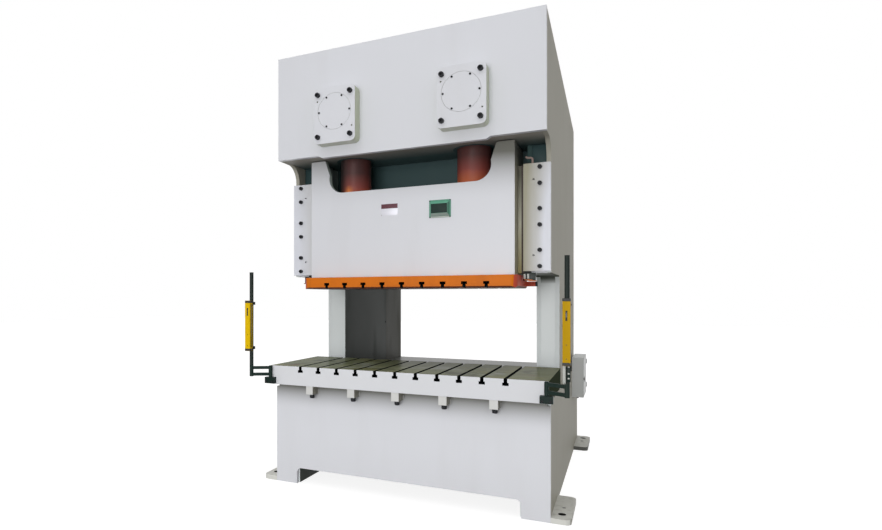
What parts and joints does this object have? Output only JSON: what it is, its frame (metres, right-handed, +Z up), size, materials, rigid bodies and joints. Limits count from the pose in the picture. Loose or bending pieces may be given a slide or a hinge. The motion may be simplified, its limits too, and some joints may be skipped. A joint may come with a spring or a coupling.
{
  "type": "c-frame servo press",
  "caption": "Gap-frame two-point servo press with T-slotted bolster and slide plate, geared crank drive, adjustable die height and light curtains on swing arms.",
  "frame": {"origin": "on the floor, at the centre of the four anchor holes", "axes": "+X to the operator's right, +Y to the back of the machine, +Z up"},
  "size_m": [3.058, 3.731, 4.4],
  "materials": {
    "paint": "satin",
    "dark_paint": "satin",
    "motor_casting": "painted",
    "ground_steel": "ground and oiled",
    "forged_steel": "machined",
    "bronze": "machined",
    "black_oxide": "blackened",
    "orange_paint": "satin",
    "red_paint": "satin",
    "yellow_coat": "powder coated",
    "green_case": "moulded"
  },
  "bodies": {
    "frame": {"side_plate_left": "paint", "side_plate_right": "paint", "inner_plate_left": "dark_paint", "inner_plate_right": "dark_paint", "throat_plates": "paint", "column_backs": "paint", "crown_front_plate": "paint", "crown_roof": "paint", "crown_floor": "dark_paint", "bearing_wall_front": "dark_paint", "bearing_wall_rear": "paint", "gear_case": "paint", "rear_cover": "paint", "base_front_plate": "paint", "base_side_plates": "paint", "bed_plate": "paint", "base_rear_plate": "paint", "foot_plates": "paint", "jack_screws": "black_oxide", "bolster": "ground_steel", "bolster_lugs": "paint", "lug_bolts": "black_oxide", "gib_plate_left": "paint", "gib_plate_right": "paint", "gib_seats": "paint", "gib_liners": "bronze", "gib_bolts": "black_oxide", "bearing_cover_left": "paint", "bearing_cover_right": "paint", "cover_caps": "paint", "cover_bolts": "black_oxide", "cap_screws": "black_oxide", "bearing_bushes": "bronze", "plunger_bushes": "bronze", "motor_housing": "motor_casting", "balancer_cylinders": "motor_casting", "curtain_brackets": "dark_paint", "cabinet_box": "paint"},
    "rams": {"connecting_rods": "red_paint", "crank_pins": "ground_steel", "wrist_pins": "ground_steel", "plungers": "red_paint"},
    "slide": {"slide_body": "paint", "slide_plate": "orange_paint", "guide_rails": "ground_steel", "adjusting_nuts": "bronze", "balancer_rods": "ground_steel", "display_hood": "green_case"},
    "crank_left": {"crankshaft_left": "forged_steel", "main_gear_left": "forged_steel"},
    "crank_right": {"crankshaft_right": "forged_steel", "main_gear_right": "forged_steel"},
    "drive": {"drive_shaft": "ground_steel", "drive_gear": "forged_steel"},
    "rotor": {"motor_shaft": "ground_steel"},
    "curtain_left": {"curtain_arm_left": "dark_paint"},
    "curtain_right": {"curtain_arm_right": "dark_paint"},
    "sensor_left": {"sensor_left": "yellow_coat"},
    "sensor_right": {"sensor_right": "yellow_coat"},
    "door": {"cabinet_door": "paint"}
  },
  "joints": [
    {"name": "stroke", "type": "slide", "parent": "frame", "child": "rams", "axis": [0, 0, -1], "range_m": [0, 0.25]},
    {"name": "die_height", "type": "slide", "parent": "rams", "child": "slide", "axis": [0, 0, -1], "range_m": [0, 0.12]},
    {"name": "crank_left_turn", "type": "hinge", "parent": "frame", "child": "crank_left", "pos_m": [-0.62, -1.3, 3.735], "axis": [0, 1, 0], "range_deg": [0, 180]},
    {"name": "crank_right_turn", "type": "hinge", "parent": "frame", "child": "crank_right", "pos_m": [0.62, -1.3, 3.735], "axis": [0, 1, 0], "range_deg": [0, 180]},
    {"name": "drive_shaft_turn", "type": "hinge", "parent": "frame", "child": "drive", "pos_m": [0, -0.72, 3.735], "axis": [0, 1, 0], "range_deg": [-440, 0]},
    {"name": "motor_turn", "type": "hinge", "parent": "frame", "child": "rotor", "pos_m": [0.39, 0, 3.735], "axis": [0, 1, 0], "range_deg": [0, 1467]},
    {"name": "curtain_left_swing", "type": "hinge", "parent": "frame", "child": "curtain_left", "pos_m": [-1.335, -1.857, 1.1], "axis": [0, 0, 1], "range_deg": [-60, 60]},
    {"name": "curtain_right_swing", "type": "hinge", "parent": "frame", "child": "curtain_right", "pos_m": [1.335, -1.857, 1.1], "axis": [0, 0, 1], "range_deg": [-60, 60]},
    {"name": "sensor_left_height", "type": "slide", "parent": "curtain_left", "child": "sensor_left", "axis": [0, 0, 1], "range_m": [-0.1, 0.25]},
    {"name": "sensor_right_height", "type": "slide", "parent": "curtain_right", "child": "sensor_right", "axis": [0, 0, 1], "range_m": [-0.1, 0.25]},
    {"name": "cabinet_door_swing", "type": "hinge", "parent": "frame", "child": "door", "pos_m": [1.484, 1.309, 0.95], "axis": [0, 0, 1], "range_deg": [0, 110]}
  ],
  "couplings": [
    {"joint": "crank_left_turn", "follows": "stroke", "rad_per_m": 12.566},
    {"joint": "crank_right_turn", "follows": "stroke", "rad_per_m": 12.566},
    {"joint": "drive_shaft_turn", "follows": "stroke", "rad_per_m": -30.717},
    {"joint": "motor_turn", "follows": "stroke", "rad_per_m": 102.39}
  ]
}
